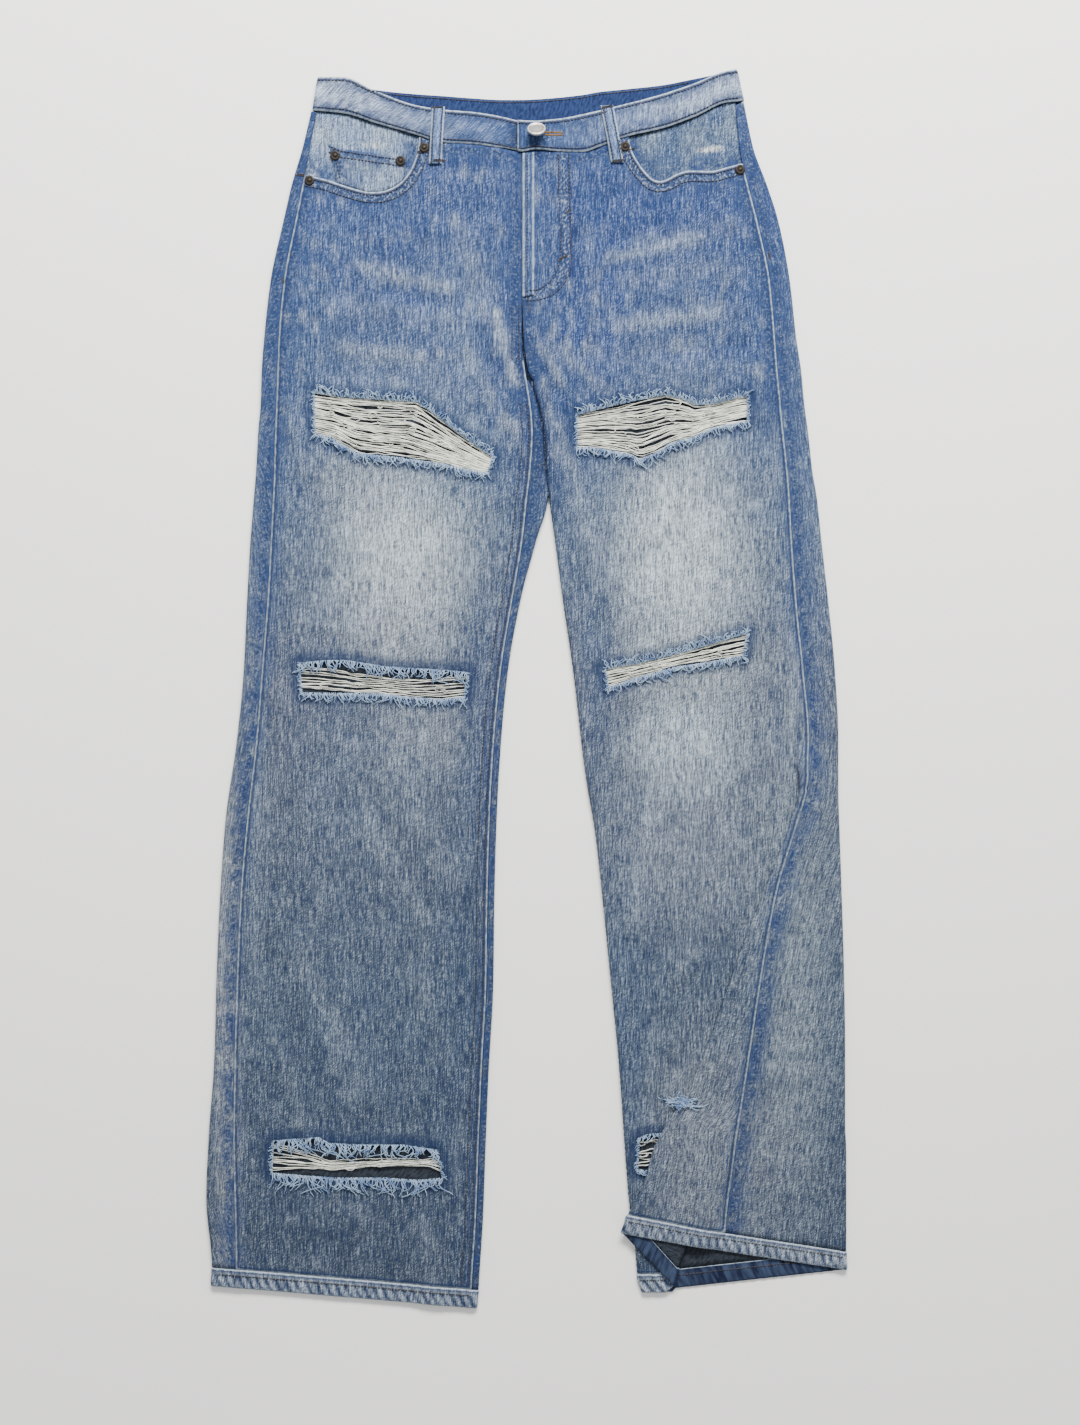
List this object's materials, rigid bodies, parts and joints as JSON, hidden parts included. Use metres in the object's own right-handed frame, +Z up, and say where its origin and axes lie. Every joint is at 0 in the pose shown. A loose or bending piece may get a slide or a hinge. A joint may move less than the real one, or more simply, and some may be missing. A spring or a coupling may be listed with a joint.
{
  "type": "ripped jeans",
  "caption": "Pale worn five-pocket jeans laid flat front up, with ripped thighs, knees and shins, a button fly and a twisted, folded lower left leg.",
  "frame": {"origin": "on the surface the jeans lie on, under the middle of their bounding box", "axes": "+X across to the wearer's left leg, +Y from the hems to the waist, +Z up off the surface"},
  "size_m": [0.5642, 1.0906, 0.0212],
  "materials": {
    "denim": "pale, worn and washed denim",
    "facing": "pale washed denim",
    "yarn_white": "loose undyed cotton weft yarn",
    "yarn_blue": "frayed blue cotton warp yarn",
    "rivet_metal": "dark oxidised rivet",
    "button_metal": "worn silver-coloured shank button"
  },
  "bodies": {
    "root": {"back_left": "denim", "back_pocket_left": "denim", "back_pocket_right": "denim", "back_right": "denim", "button": "button_metal", "coin_pocket": "denim", "fly_edge": "denim", "fly_underlap": "denim", "fray_lower_knee_left": "yarn_blue", "fray_lower_knee_right": "yarn_blue", "fray_lower_shin_right": "yarn_blue", "fray_lower_thigh_left": "yarn_blue", "fray_lower_thigh_right": "yarn_blue", "fray_upper_knee_left": "yarn_blue", "fray_upper_knee_right": "yarn_blue", "fray_upper_shin_left": "yarn_blue", "fray_upper_shin_right": "yarn_blue", "fray_upper_thigh_left": "yarn_blue", "fray_upper_thigh_right": "yarn_blue", "front_left": "denim", "front_right": "denim", "hem_left": "denim", "hem_right": "denim", "loop_back_centre": "denim", "loop_back_left": "denim", "loop_back_right": "denim", "loop_front_left": "denim", "loop_front_right": "denim", "pocket_facing_left": "facing", "pocket_facing_right": "facing", "rivet_coin_inner": "rivet_metal", "rivet_coin_outer": "rivet_metal", "rivet_left_inner": "rivet_metal", "rivet_left_outer": "rivet_metal", "rivet_right_inner": "rivet_metal", "rivet_right_outer": "rivet_metal", "waistband": "denim", "yarns_knee_left": "yarn_white", "yarns_knee_right": "yarn_white", "yarns_shin_left": "yarn_white", "yarns_shin_right": "yarn_white", "yarns_thigh_left": "yarn_white", "yarns_thigh_right": "yarn_white", "yoke_left": "denim", "yoke_right": "denim"}
  },
  "joints": []
}
